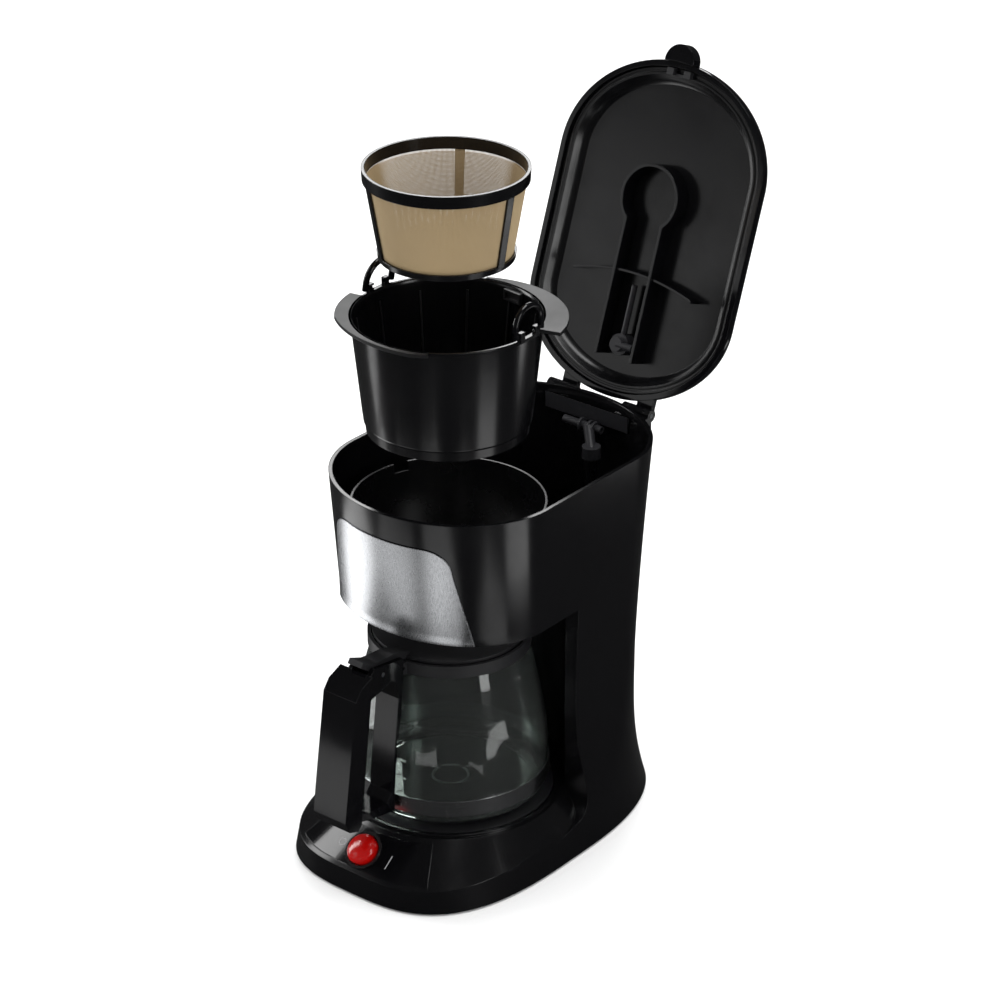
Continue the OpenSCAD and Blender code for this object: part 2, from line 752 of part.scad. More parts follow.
// Small frame on the inside of the rim
module basket_clip() difference() {
    box([basket_top_r - 5, -7, basket_h - 9], [basket_top_r - 2, 7, basket_h - 2]);
    box([basket_top_r - 8, -5.6, basket_h - 7.6],
        [basket_top_r - 3.4, 5.6, basket_h - 3.4]);
}
module loop_ear() difference() {
    box([basket_top_r - 1.4, loop_y - 9, basket_h - 2],
        [loop_x + 1.9, loop_y + 9, loop_z + 2]);
    box([basket_top_r - 5, loop_y - 5, basket_h],
        [loop_x + 4, loop_y + 5, loop_z + 4]);
}
module basket_base() color("#17171a") in_basket() difference() {
    rotate_extrude() polygon([
        [40, 0], [basket_low_r - 1.4, 0], [basket_low_r - 0.9, 6.1],
        [basket_low_r - 2.5, 6.1], [basket_low_r - 2.9, 1.9], [40, 1.9]
    ]);
    for (a = [0:30:330]) rotate([0, 0, a])
        translate([44, 0, -1]) cylinder(r = 1.5, h = 4);
}
pivot_r = 1.2;
// A U-shaped loop whose inward pins turn in the basket's ear
module carry_loop(lean = 0) {
    r_arc = loop_half;
    leg = 4.5;
    translate([loop_x, loop_y, loop_z]) rotate([0, -lean, 0]) {
        translate([0, 0, leg]) rotate([90, 0, 90]) rotate_extrude(angle = 180)
            translate([r_arc, 0]) circle(r = loop_rod);
        for (s = [-1, 1]) {
            translate([0, s * r_arc, -1]) cylinder(r = loop_rod, h = leg + 1);
            rod_y([0, s * (r_arc - 2.75), 0], pivot_r, 5.5);
        }
    }
}
module loop_right() color(gloss) in_basket() carry_loop();
module loop_left() color(gloss) in_basket() mirror([1, 0, 0])
    carry_loop(left_lean);

stem_r = 2.5;
module valve_plunger() color("#3b3b3e") in_basket() {
    disc(stem_r, -4.5, floor_h + 2);
    disc(8.6, floor_h + 1.5, floor_h + 2.8);
    disc(1.6, floor_h + 2.7, floor_h + 3.4);
}
module valve_seal() color("#8b2f27") in_basket()
    tube(8.4, stem_r + 0.1, floor_h + 0.05, floor_h + 1.45);
spring_r = 4.2;
module valve_spring() color(steel) in_basket() {
    for (i = [0:3]) translate([0, 0, -2.6 + 1.25 * i])
        rotate_extrude() translate([spring_r, 0]) circle(r = 0.4, $fn = 16);
    tube(spring_r + 0.4, stem_r + 0.2, -3.4, -3);
}

// ---- Mesh filter ----

filter_z = basket_z + floor_h + rib_h + filter_lift;
rim_band = 7.6;
module in_filter() translate([0, 0, filter_z]) children();
function filter_side(h) =
    mix(filter_low_r, filter_r - 1, h / (filter_h - rim_band));
module filter_frame() color(black) in_filter() {
    rotate_extrude() polygon([
        [filter_r - 2.4, filter_h - rim_band], [filter_r - 0.4, filter_h - rim_band],
        [filter_r, filter_h - 1], [filter_r, filter_h], [filter_r - 2, filter_h]
    ]);
    rotate_extrude() polygon([
        [filter_low_r - 4, 0], [filter_low_r, 0], [filter_low_r + 0.6, 3.6],
        [filter_low_r - 1.2, 3.6], [filter_low_r - 1.6, 1.4],
        [filter_low_r - 4, 1.4]
    ]);
    for (a = [0, 120, 240]) rotate([0, 0, a]) hull() {
        box([filter_side(2) - 1.1, -2.8, 2], [filter_side(2), 2.8, 3]);
        box([filter_side(filter_h - rim_band) - 1.1, -2.8, filter_h - rim_band - 0.5],
            [filter_side(filter_h - rim_band), 2.8, filter_h - rim_band + 0.5]);
    }
}
mesh_t = 0.4;
module filter_mesh() color("#b5935f") in_filter() rotate_extrude() polygon([
    [0.01, 1.5], [filter_low_r - 2, 1.5], [filter_low_r - 1.4, 3.7],
    [filter_side(filter_h - rim_band) - 1.4, filter_h - rim_band - 0.1],
    [filter_side(filter_h - rim_band) - 1.4 - mesh_t, filter_h - rim_band - 0.1],
    [filter_low_r - 1.4 - mesh_t, 3.7], [filter_low_r - 2 - mesh_t, 1.5 + mesh_t],
    [0.01, 1.5 + mesh_t]
]);

// ---- Carafe ----

carafe_z = plate_top + 0.1;
module in_carafe() translate([0, 0, carafe_z]) children();
neck_r = glass_r - 13;
// Outer profile of the glass: [height, radius less glass_r]
glass_profile = [[0, -8], [1.2, -4.6], [4, -1.9], [9, -0.5], [20, 0], [32, 0],
    [44, -0.9], [56, -2.8], [68, -4.9], [80, -7.4], [90, -9.8]];
module carafe_glass() color("#3d4442", 0.5) in_carafe() {
    k = (glass_h - 7) / 100;
    rotate_extrude() polygon(concat(
        [for (p = glass_profile) [glass_r + p[1], p[0] * k]],
        [[neck_r, glass_h - 6], [neck_r, glass_h],
         [neck_r - glass_wall, glass_h], [neck_r - glass_wall, glass_h - 6]],
        [for (i = [10:-1:2]) let (p = glass_profile[i])
            [glass_r + p[1] - glass_wall, p[0] * k + 0.4]],
        [[glass_r - 9, 2.4], [0.01, 2.4], [0.01, 0.6], [glass_r - 12, 0.6],
         [glass_r - 10, 0]]
    ));
}
band_low = 9.4;
band_h = 10.9;
module carafe_band() color(steel) in_carafe() difference() {
    union() {
        tube(glass_r + 1.1, glass_r + 0.25, band_low, band_low + band_h);
        box([-5, -glass_r - 3, band_low + 1], [5, -glass_r - 0.9, band_low + band_h - 1]);
    }
    rod_y([0, -glass_r, band_low + band_h / 2], 1.7, 12);
}
collar_h = 9;
module carafe_collar() color(black) in_carafe() difference() {
    union() {
        tube(neck_r + 2.4, neck_r + 0.2, glass_h - 5.5, glass_h + 2.5);
        // Spout lip at the back of the pour side
        rotate([0, 0, 180]) box([neck_r + 1, -9, glass_h - 2],
            [neck_r + 6, 9, glass_h + 2.5]);
        box([-8, -neck_r - 6, glass_h - 5.5], [8, -neck_r - 1, glass_h + 2.5]);
    }
    disc(neck_r + 0.2, 0, glass_h);
    rod_x([0, -neck_r - 4.5, glass_h - 1], 1, 40);
}
handle_low = 18;
handle_top = 112;
frame_w = 18;
// Side view of the handle: the outline of the frame, less its window
module handle_side() difference() {
    polygon([
        [-neck_r - 6.2, handle_top - 10], [-neck_r - 6.2, handle_top + 2],
        [-82, handle_top + 6], [-98, handle_top - 8],
        [-handle_reach + 6, 24], [-handle_reach + 8, handle_low + 2],
        [-86, handle_low - 4], [-glass_r - 3.2, band_low + 1],
        [-glass_r - 3.2, band_low + band_h - 1], [-glass_r - 1.6, 40],
        [-glass_r + 5, 84]
    ]);
    polygon([
        [-62, 100], [-66, 103], [-90, 97], [-94, 90], [-102, 30],
        [-99, 24], [-90, 20], [-72, 19], [-67.5, 24], [-66, 40],
        [-60, 88]
    ]);
}
module carafe_handle() color(black) in_carafe() difference() {
    along_x(frame_w) handle_side();
    disc(glass_r + 1.2, -1, 60);
    rod_y([0, -glass_r, band_low + band_h / 2], 1.6, 60);
    rod_y([0, -glass_r - 21, band_low + band_h / 2], 3.6, 30);
    rod_x([0, -74, handle_top - 1], 1.55, 40);
    along_x(12) polygon([[-79.6, handle_top - 5.8], [-81.5, handle_top - 0.4],
        [-92, handle_top + 6], [-92, handle_top + 14], [-40, handle_top + 14],
        [-40, handle_top - 7]]);
}
// Outer grip, a channel round the front of the frame
module handle_grip() color(black) in_carafe() difference() {
    along_x(grip_w) polygon([
        [-88, handle_top + 5], [-99, handle_top + 0.5], [-104, handle_top - 6],
        [-handle_reach, 26], [-handle_reach + 4, handle_low],
        [-handle_reach + 12, handle_low - 3], [-101, handle_low]
    ]);
    along_x(frame_w + 0.3) handle_solid();
}
module handle_solid() polygon([
    [-60, handle_top + 20], [-82, handle_top + 6.1], [-98.15, handle_top - 8],
    [-handle_reach + 5.85, 24], [-handle_reach + 7.85, handle_low + 1.8],
    [-handle_reach + 11, handle_low - 8], [-60, handle_low - 8]
]);
module handle_screw() color(zinc) in_carafe() {
    rod_y([0, -glass_r - 4.4, band_low + band_h / 2], 1.5, 8);
    rod_y([0, -glass_r - 9.2, band_low + band_h / 2], 3, 2.4);
}
lever_y = -74;
module carafe_lid() color("#232327") in_carafe() difference() {
    union() {
        disc(neck_r - 0.6, glass_h + 2.7, glass_h + 4.7);
        tube(neck_r - glass_wall - 0.8, neck_r - glass_wall - 2.2,
            glass_h - 4, glass_h + 2.8);
        // Lever from the lid back over the handle's pin
        along_x(11) polygon([
            [-neck_r + 4, glass_h + 3], [-neck_r - 1.5, glass_h + 3],
            [-66, handle_top - 1], [-70, handle_top - 4.4], [-77, handle_top - 4.4],
            [-79, handle_top + 1], [-90, handle_top + 9], [-88, handle_top + 12],
            [-76, handle_top + 7], [-60, handle_top + 6], [-neck_r + 4, glass_h + 7]
        ]);
        disc(24, glass_h + 4.6, glass_h + 5.8);
    }
    disc(9, glass_h, glass_h + 10);
    rod_x([0, lever_y, handle_top - 1], 1.58, 40);
}
module carafe_lid_pin() color(steel) in_carafe()
    rod_x([0, lever_y, handle_top - 1], 1.5, frame_w);

housing();
bottom_cover();
rubber_feet();
base_screws();
cord_gland();
tank_floor();
tube_grommets();
brew_well();
well_seal();
warming_plate();
plate_gasket();
heater_element();
heater_tube();
heater_clamp();
clamp_screw();
thermostat();
thermal_fuse();
check_valve();
inlet_hose();
riser_hose();
riser_tube();
outlet_nozzle();
hinge_bracket();
hinge_pins();
front_panel();
control_panel();
switch_bezel();
switch_body();
switch_button();
terminal_block();
lid_shell();
lid_liner();
lid_channel();
lid_nozzle();
lid_latch();
basket();
basket_base();
loop_left();
loop_right();
valve_plunger();
valve_spring();
valve_seal();
filter_frame();
filter_mesh();
carafe_glass();
carafe_band();
carafe_collar();
carafe_handle();
handle_grip();
handle_screw();
carafe_lid();
carafe_lid_pin();
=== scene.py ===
import bpy, bmesh, math
from mathutils import Matrix, Vector


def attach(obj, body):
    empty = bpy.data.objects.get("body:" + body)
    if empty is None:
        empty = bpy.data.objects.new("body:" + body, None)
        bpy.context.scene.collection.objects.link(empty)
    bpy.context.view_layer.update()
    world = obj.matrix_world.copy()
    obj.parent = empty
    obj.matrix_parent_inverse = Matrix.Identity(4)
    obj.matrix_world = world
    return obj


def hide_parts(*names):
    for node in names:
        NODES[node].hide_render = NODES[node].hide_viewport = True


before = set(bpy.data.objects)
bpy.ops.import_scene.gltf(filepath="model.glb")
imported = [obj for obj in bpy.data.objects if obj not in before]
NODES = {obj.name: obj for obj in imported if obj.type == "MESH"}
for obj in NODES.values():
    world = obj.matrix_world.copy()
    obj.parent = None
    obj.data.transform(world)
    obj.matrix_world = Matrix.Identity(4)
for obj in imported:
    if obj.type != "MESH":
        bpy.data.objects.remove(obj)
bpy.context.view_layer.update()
MM = 0.001

# ---- Camera, light and floor -------------------------------------------------


def add_camera():
    data = bpy.data.cameras.new("camera")
    data.sensor_width = 36
    data.lens = 122.9
    data.clip_end = 20
    cam = bpy.data.objects.new("camera", data)
    bpy.context.collection.objects.link(cam)
    cam.location = (1.1977, -1.4332, 1.1766)
    yaw, down = math.radians(-38.92), math.radians(26.72)
    ahead = Vector((math.sin(yaw) * math.cos(down), math.cos(yaw) * math.cos(down), -math.sin(down)))
    cam.rotation_mode = "QUATERNION"
    cam.rotation_quaternion = ahead.to_track_quat("-Z", "Y")
    bpy.context.scene.camera = cam


def area_light(name, at, target, size, watts):
    data = bpy.data.lights.new(name, "AREA")
    data.shape = "RECTANGLE"
    data.size, data.size_y = size
    data.energy = watts
    lamp = bpy.data.objects.new(name, data)
    bpy.context.collection.objects.link(lamp)
    lamp.location = at
    lamp.rotation_mode = "QUATERNION"
    lamp.rotation_quaternion = (Vector(target) - Vector(at)).to_track_quat("-Z", "Y")
    lamp.visible_camera = False


# ---- Materials ----------------------------------------------------------------


def linear(code, alpha=1.0):
    parts = [int(code[i:i + 2], 16) / 255 for i in (1, 3, 5)]
    return tuple(c / 12.92 if c <= 0.04045 else ((c + 0.055) / 1.055) ** 2.4 for c in parts) + (alpha,)


def node(tree, kind, *inputs, out=0, sockets=None, **settings):
    """Adds a node. Inputs go in order (None leaves one alone) or by name in sockets; a list makes several links."""
    made = tree.nodes.new(kind)
    for key, value in settings.items():
        setattr(made, key, value)
    for socket, value in [*enumerate(inputs), *(sockets or {}).items()]:
        for each in value if isinstance(value, list) else [value]:
            if isinstance(each, bpy.types.NodeSocket):
                tree.links.new(each, made.inputs[socket])
            elif each is not None:
                made.inputs[socket].default_value = each
    return made.outputs[out] if len(made.outputs) else made


def shader(name, build, **sockets):
    """A principled material; build returns what goes to which of its sockets."""
    mat = bpy.data.materials.new(name)
    mat.use_nodes = True
    tree = mat.node_tree
    bsdf = tree.nodes["Principled BSDF"]
    for key, value in [*((key.replace("_", " "), value) for key, value in sockets.items()), *build(tree).items()]:
        if isinstance(value, bpy.types.NodeSocket):
            tree.links.new(value, bsdf.inputs[key])
        else:
            bsdf.inputs[key].default_value = value
    return mat


def softened(tree, radius_mm, height, strength, depth_mm=0.1):
    """Rounds sharp edges in the shading, as a mould's or a press tool's radius does, and adds a bump."""
    edge = node(tree, "ShaderNodeBevel", radius_mm * MM, samples=4)
    return node(tree, "ShaderNodeBump",
                sockets={"Height": height, "Normal": edge, "Strength": strength, "Distance": depth_mm * MM})


def moulded(name, dark, light, rough, variation, grain_mm, grain, radius_mm=0.5, **sockets):
    """A moulding or casting: slow colour drift, patches of uneven gloss and a fine grain."""
    def build(tree):
        coords = node(tree, "ShaderNodeTexCoord", out="Object")
        drift = node(tree, "ShaderNodeTexNoise", coords, None, 9.0, 3.0)
        smear = node(tree, "ShaderNodeTexNoise", coords, None, 34.0, 4.0, 0.6)
        fine = node(tree, "ShaderNodeTexNoise", coords, None, 1 / (grain_mm * MM), 2.0)
        return {"Base Color": node(tree, "ShaderNodeMix", drift, data_type="RGBA", out=2,
                                   sockets={6: linear(dark), 7: linear(light)}),
                "Roughness": node(tree, "ShaderNodeMapRange", smear, 0.35, 0.7, rough, rough + variation),
                "Normal": softened(tree, radius_mm, fine, grain)}
    return shader(name, build, Coat_Roughness=0.08, **sockets)


def brushed(name, dark, light, rough, along, radius_mm=0.4):
    """Stainless steel brushed along one axis: fine streaks of colour, gloss and height."""
    def build(tree):
        coords = node(tree, "ShaderNodeTexCoord", out="Object")
        scale = tuple(1.0 if axis == along else 90.0 for axis in range(3))
        stretched = node(tree, "ShaderNodeMapping", coords, sockets={"Scale": scale})
        streaks = node(tree, "ShaderNodeTexNoise", stretched, None, 40.0, 3.0, 0.6)
        return {"Base Color": node(tree, "ShaderNodeMix", streaks, data_type="RGBA", out=2,
                                   sockets={6: linear(dark), 7: linear(light)}),
                "Roughness": node(tree, "ShaderNodeMapRange", streaks, 0.3, 0.7, rough - 0.05, rough + 0.08),
                "Normal": softened(tree, radius_mm, streaks, 0.03, 0.02)}
    return shader(name, build, Metallic=1.0, Anisotropic=0.5)


def clear_glass(tree):
    wave = node(tree, "ShaderNodeTexNoise", node(tree, "ShaderNodeTexCoord", out="Object"), None, 25.0, 2.0)
    return {"Base Color": node(tree, "ShaderNodeMix", wave, data_type="RGBA", out=2,
                               sockets={6: linear("#c9d1cd"), 7: linear("#dbe1de")}),
            "Normal": softened(tree, 0.3, wave, 0.03, 0.3)}


def add_materials():
    """Name, darkest and lightest colour, roughness and its variation, grain size and strength, edge radius."""
    return {
        # Near black with a soft, wide reflection
        "abs": moulded("polished moulded ABS", "#060607", "#0a0a0c", 0.16, 0.06, 0.6, 0.02, 0.6),
        # The same resin from a mirror-finished mould: sharp, bright edges
        "gloss": moulded("high gloss moulded ABS", "#040405", "#070709", 0.08, 0.05, 0.6, 0.01, 0.5),
        # Dull, with a grain that catches light
        "pp": moulded("spark textured polypropylene", "#141416", "#1d1d20", 0.42, 0.1, 0.5, 0.25, 0.4),
        # Black and even, for the parts water touches
        "inner": moulded("smooth moulded polypropylene", "#060607", "#0b0b0d", 0.24, 0.08, 0.8, 0.06, 0.5),
        # A shade lighter than the lid's shell, with a blurred sheen
        "lid_inner": moulded("satin moulded ABS", "#070708", "#0c0c0e", 0.18, 0.08, 0.7, 0.03, 0.5),
        # Painted sheen: a lighter grey than the basket's own black, standing in for the light its tops catch, and a
        # rougher finish: grey where light grazes it, black from above
        "satin": moulded("satin ABS with painted sheen", "#0e0e0f", "#161618", 0.4, 0.08, 0.5, 0.1, 0.5),
        # Matt charcoal that hardly reflects
        "rubber": moulded("moulded silicone rubber", "#17171a", "#222225", 0.6, 0.1, 0.5, 0.3, 0.3),
        # Matt mid grey seals
        "grey_rubber": moulded("grey moulded silicone rubber", "#56565a", "#66666a", 0.55, 0.1, 0.5, 0.2, 0.3),
        # Milky and slightly tacky looking
        "hose": moulded("extruded silicone hose", "#a8a396", "#bdb8aa", 0.4, 0.1, 0.8, 0.1, 0.3),
        # Warm off-white with a waxy sheen
        "ivory": moulded("moulded natural nylon", "#b9b3a2", "#cbc5b4", 0.4, 0.08, 0.6, 0.1, 0.3),
        # Dark grey, evenly satin
        "grey_plastic": moulded("moulded acetal", "#1b1b1d", "#27272a", 0.3, 0.1, 0.6, 0.1, 0.3),
        # Brown-black and chalky
        "phenolic": moulded("pressed phenolic resin", "#1c1815", "#282320", 0.5, 0.1, 0.4, 0.3, 0.3),
        # Upright streaks that draw highlights out sideways
        "steel": brushed("brushed stainless steel", "#bcbec1", "#c9cacd", 0.26, 2),
        # Brighter, with streaks round the jug
        "band_steel": brushed("polished stainless steel band", "#b9bbbe", "#d9dadc", 0.2, 0, 0.3),
        # Cool grey metal with a fine bloom
        "zinc": moulded("zinc plated steel", "#8b8e92", "#a3a6aa", 0.3, 0.1, 0.4, 0.08, 0.2, Metallic=1.0),
        # Rough, pale metal straight from the die
        "cast": moulded("die cast aluminium", "#8f9193", "#a6a8aa", 0.45, 0.1, 0.5, 0.35, 0.3, Metallic=1.0),
        # Faint orange peel over a charcoal sheen
        "coated": moulded("non-stick coated steel", "#151517", "#1d1d1f", 0.35, 0.08, 0.9, 0.12, 0.3),
        # Clear with a green cast and a trace of haze, dark from the black parts seen through it
        "glass": shader("pressed borosilicate glass", clear_glass, IOR=1.47, Roughness=0.02,
                        Transmission_Weight=0.982),
        # The same glass where it is thick: opaque and pale grey-green, a painted highlight for the light it catches
        "glass_edge": moulded("borosilicate ring with painted glint", "#5d6663", "#7b8582", 0.15, 0.05, 0.8, 0.02, 0.3),
        # Saturated red body under a glossy skin
        "red": moulded("translucent red polycarbonate", "#8e0504", "#a80a07", 0.14, 0.05, 0.6, 0.02, 0.4,
                       Coat_Weight=0.3, Subsurface_Weight=0.15, Subsurface_Radius=(0.004, 0.001, 0.001)),
        # Nearly black, with a faint warm tint and a hard highlight
        "bezel": moulded("smoked polycarbonate", "#141112", "#1c1819", 0.1, 0.04, 0.6, 0.02, 0.3, Coat_Weight=0.4),
        # Tan threads that look like one cloth from a distance
        "mesh": moulded("woven nylon monofilament", "#8f7c5d", "#a8936e", 0.55, 0.1, 0.6, 0.05, 0.1),
        # Flat light grey, slightly raised
        "print": moulded("pad printed ink", "#8d8d8f", "#9a9a9c", 0.4, 0.1, 0.5, 0.05, 0.1),
        # Bright drawn wire
        "spring": moulded("drawn spring steel", "#9a9da0", "#b6b9bc", 0.25, 0.1, 0.5, 0.05, 0.1, Metallic=1.0),
    }


M = add_materials()
CAD_MATERIALS = {
    "bottom_cover": "pp", "rubber_feet": "rubber", "base_screws": "zinc", "cord_gland": "rubber",
    "tank_floor": "inner", "tube_grommets": "grey_rubber", "brew_well": "inner", "well_seal": "grey_rubber",
    "warming_plate": "coated", "plate_gasket": "rubber", "heater_element": "cast", "heater_tube": "cast",
    "heater_clamp": "zinc", "clamp_screw": "zinc", "thermostat": "phenolic", "thermal_fuse": "ivory",
    "check_valve": "ivory", "inlet_hose": "hose", "riser_hose": "hose", "riser_tube": "inner",
    "outlet_nozzle": "grey_plastic", "hinge_bracket": "grey_plastic", "hinge_pins": "zinc",
    "front_panel": "steel", "control_panel": "gloss", "switch_bezel": "bezel", "switch_body": "pp",
    "switch_button": "red", "terminal_block": "ivory", "housing": "abs", "lid_shell": "gloss",
    "lid_liner": "lid_inner", "lid_channel": "gloss", "lid_nozzle": "grey_plastic", "lid_latch": "pp",
    "basket": "abs", "basket_base": "abs", "loop_left": "gloss", "loop_right": "gloss",
    "valve_plunger": "grey_plastic", "valve_spring": "spring", "valve_seal": "rubber",
    "filter_frame": "abs", "filter_mesh": "mesh", "carafe_glass": "glass", "carafe_band": "band_steel",
    "carafe_collar": "pp", "carafe_handle": "gloss", "handle_grip": "gloss", "handle_screw": "zinc",
    "carafe_lid": "pp", "carafe_lid_pin": "zinc",
}
for label, kind in CAD_MATERIALS.items():
    NODES[label].data.materials.clear()
    NODES[label].data.materials.append(M[kind])

# ---- Making solids --------------------------------------------------------------

SMOOTH_ANGLE = math.radians(32)


def link(ob):
    bpy.context.collection.objects.link(ob)
    return ob


def strip(low, high, count):
    """Faces that join two rows of points."""
    return [(low * count + j, low * count + (j + 1) % count, high * count + (j + 1) % count, high * count + j)
            for j in range(count)]


def cap(row, count):
    return tuple(row * count + j for j in range(count))


def closed_mesh(name, points, faces):
    """An object from points in millimetres, with its faces turned outwards."""
    mesh = bpy.data.meshes.new(name)
    mesh.from_pydata([Vector(p) * MM for p in points], [], faces)
    bm = bmesh.new()
    bm.from_mesh(mesh)
    bmesh.ops.recalc_face_normals(bm, faces=bm.faces)
    bm.to_mesh(mesh)
    bm.free()
    return link(bpy.data.objects.new(name, mesh))


def solid(name, rings):
    """A solid through rings of equally many points, lowest first."""
    count, last = len(rings[0]), len(rings) - 1
    faces = [face for i in range(last) for face in strip(i, i + 1, count)]
    return closed_mesh(name, [p for ring in rings for p in ring], faces + [cap(0, count), cap(last, count)])


def prism(name, drawing, low, high, up="z"):
    """A flat drawing given a thickness: (x, y) along z, (y, z) along x, or (x, z) along y."""
    place = {"z": lambda p, h: (p[0], p[1], h), "x": lambda p, h: (h, *p), "y": lambda p, h: (p[0], h, p[1])}[up]
    return solid(name, [[place(p, h) for p in drawing] for h in (low, high)])


def circle(radius, steps=128, centre=(0, 0)):
    turns = [math.tau * i / steps for i in range(steps)]
    return [(centre[0] + radius * math.cos(a), centre[1] + radius * math.sin(a)) for a in turns]


def combine(ob, operation, other):
    mod = ob.modifiers.new("cut", "BOOLEAN")
    mod.operation, mod.object, mod.solver = operation, other, "MANIFOLD"
    settle(ob)
    bpy.data.objects.remove(other)
    return ob


def cut(ob, *others):
    for other in others:
        combine(ob, "DIFFERENCE", other)
    return ob


def settle(ob):
    """Turns an object and its modifiers into a plain mesh."""
    depsgraph = bpy.context.evaluated_depsgraph_get()
    mesh = bpy.data.meshes.new_from_object(ob.evaluated_get(depsgraph))
    ob.modifiers.clear()
    ob.data = mesh
    return ob


def smooth(ob, angle=SMOOTH_ANGLE):
    ob.data.shade_smooth()
    ob.data.set_sharp_from_angle(angle=angle)
    return ob


def piece(ob, name, material, body, replaced=()):
    ob.name = ob.data.name = name
    ob.data.materials.clear()
    ob.data.materials.append(M[material])
    for poly in ob.data.polygons:
        poly.material_index = 0
    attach(ob, body)
    if replaced:
        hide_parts(*replaced)
    return ob


# ---- The housing's outline -------------------------------------------------------

BASE = {"half": 84.7, "front": 99.3, "back": 154.0}
WAIST = {"half": 72.3, "back": 131.5, "z": 110.0}
RIM = {"half": 77.8, "front": 67.2, "back": 149.2, "z": 254.6}
HEAD = {"front": 58.8, "z": 170.0}
WALL, FOOT_GAP = 2.5, 1.5
# Where the back half's middle lies above the flare, and the steps along each half
BACK_CENTRE, SIDE_STEPS = 88, 72
DECK = {"z": 36.5, "r": 71.0, "side": 93.0, "front": 117.0, "power": 3.2}
BAY_R, BAY_EDGE, BAY_SWEEP, BAY_ROUND = 73.0, 36.0, 5.0, 14.0


def between(a, b, t):
    return a + (b - a) * t


def levels(low, high, count):
    return [between(low, high, i / count) for i in range(count + 1)]


def flare(z):
    return ((WAIST["z"] - z) / WAIST["z"]) ** 1.7 if z < WAIST["z"] else 0


def spread(z):
    return ((z - WAIST["z"]) / (RIM["z"] - WAIST["z"])) ** 1.33 if z > WAIST["z"] else 0


def half_width(z):
    return WAIST["half"] + (BASE["half"] - WAIST["half"]) * flare(z) + (RIM["half"] - WAIST["half"]) * spread(z)


def back_reach(z):
    return WAIST["back"] + (BASE["back"] - WAIST["back"]) * flare(z) + (RIM["back"] - WAIST["back"]) * spread(z)


def front_share(z):
    return min(1, max(0, (z - 30) / (HEAD["z"] - 30)))


def front_reach(z):
    if z >= HEAD["z"]:
        return -between(HEAD["front"], RIM["front"], (z - HEAD["z"]) / (RIM["z"] - HEAD["z"]))
    return between(-(BASE["front"] - 0.14 * min(z, 30)), -HEAD["front"], front_share(z))


def half_ring(half, centre, depth, power, start):
    """Half of a rounded loop, from a starting angle on. A power of 2 is an ellipse; more is squarer."""
    ring = []
    for i in range(SIDE_STEPS + 1):
        a = math.radians(start + 180 * i / SIDE_STEPS)
        x, y = (math.copysign(abs(v) ** (2 / power), v) for v in (math.cos(a), math.sin(a)))
        ring.append((half * x, centre + depth * y))
    return ring


def outline(z, inset=0.0):
    """The tower's edge seen from above, at a height: its back half, then its front half."""
    half, foot, front = half_width(z) - inset, flare(z), front_share(z)
    back_c, front_c = between(BACK_CENTRE, 30, foot), between(24, 0, front)
    back_depth, front_depth = back_reach(z) - inset - back_c, front_c - front_reach(z) - inset
    return (half_ring(half, back_c, back_depth, between(2, 2.5, foot), 0)[:-1]
            + half_ring(half, front_c, front_depth, between(3, 2, front), 180)[:-1])


def tower(name, heights, inset=0.0):
    return solid(name, [[(x, y, z) for x, y in outline(z, inset)] for z in heights])


def deck_reach(a):
    across, along = abs(math.cos(a)) / DECK["side"], abs(math.sin(a)) / DECK["front"]
    return (across ** DECK["power"] + along ** DECK["power"]) ** (-1 / DECK["power"])


def deck_height(x, y):
    reach = deck_reach(math.atan2(y, x))
    return DECK["z"] * (reach - math.hypot(x, y)) / (reach - DECK["r"])


def deck(name, drop=0.0, steps=256):
    """The base's top: from its outer edge up to the plate's rim."""
    rows = []
    for share in (0, 1):
        turns = [(a, between(deck_reach(a), DECK["r"], share)) for a in (math.tau * i / steps for i in range(steps))]
        rows.append([(reach * math.cos(a), reach * math.sin(a), DECK["z"] * share - drop) for a, reach in turns])
    return solid(name, rows)


def bay_space(name, grow=0.0):
    """The carafe's bay: a side view run across, and the drum round the carafe."""
    low_z, back, ceiling = DECK["z"] - 1, BAY_EDGE + grow, HEAD["z"] + grow
    corner_y, corner_r = BAY_EDGE + BAY_SWEEP - BAY_ROUND, BAY_ROUND + grow
    side = [(-150, 0), (-150, ceiling), (back, ceiling)]
    side += [(back + BAY_SWEEP * (1 - math.cos(math.pi * t)) / 2, between(80, low_z, t)) for t in levels(0, 1, 20)]
    side += [(corner_y + corner_r * math.cos(a), low_z + corner_r * math.sin(a))
             for a in (math.radians(-6 * i) for i in range(1, 16))]
    side.append((0, 16 - grow))
    drum = prism("bay drum", circle(BAY_R + grow, 192), DECK["z"] - (WALL if grow else 0), ceiling)
    return combine(prism(name, side, -130, 130, "x"), "UNION", drum)


def ring_solid(name, profile, steps=128):
    """A closed loop of (radius, height) points that misses the axis, turned about it."""
    turns = [math.tau * i / steps for i in range(steps)]
    points = [(r * math.cos(a), r * math.sin(a), z) for a in turns for r, z in profile]
    faces = [face for i in range(steps) for face in strip(i, (i + 1) % steps, len(profile))]
    return closed_mesh(name, points, faces)


# ---- Housing, panels and lid -----------------------------------------------------

HINGE = {"y": RIM["back"] + 3.3, "z": RIM["z"] - 5.4, "pin": 1.5, "ear": 4.0, "knuckle": (24, 36)}
TANK_FLOOR_Z = 57.5
WELL_FOOT_R = 54.0


def back_at(x, z, inset=0.0):
    share = math.sqrt(1 - (x / (half_width(z) - inset)) ** 2)
    return BACK_CENTRE + (back_reach(z) - inset - BACK_CENTRE) * share


def rod(name, at, radius, length, axis, steps=48):
    drawing = {"x": circle(radius, steps, (at[1], at[2])), "y": circle(radius, steps, (at[0], at[2])),
               "z": circle(radius, steps, (at[0], at[1]))}[axis]
    middle = at["xyz".index(axis)]
    return prism(name, drawing, middle - length / 2, middle + length / 2, axis)


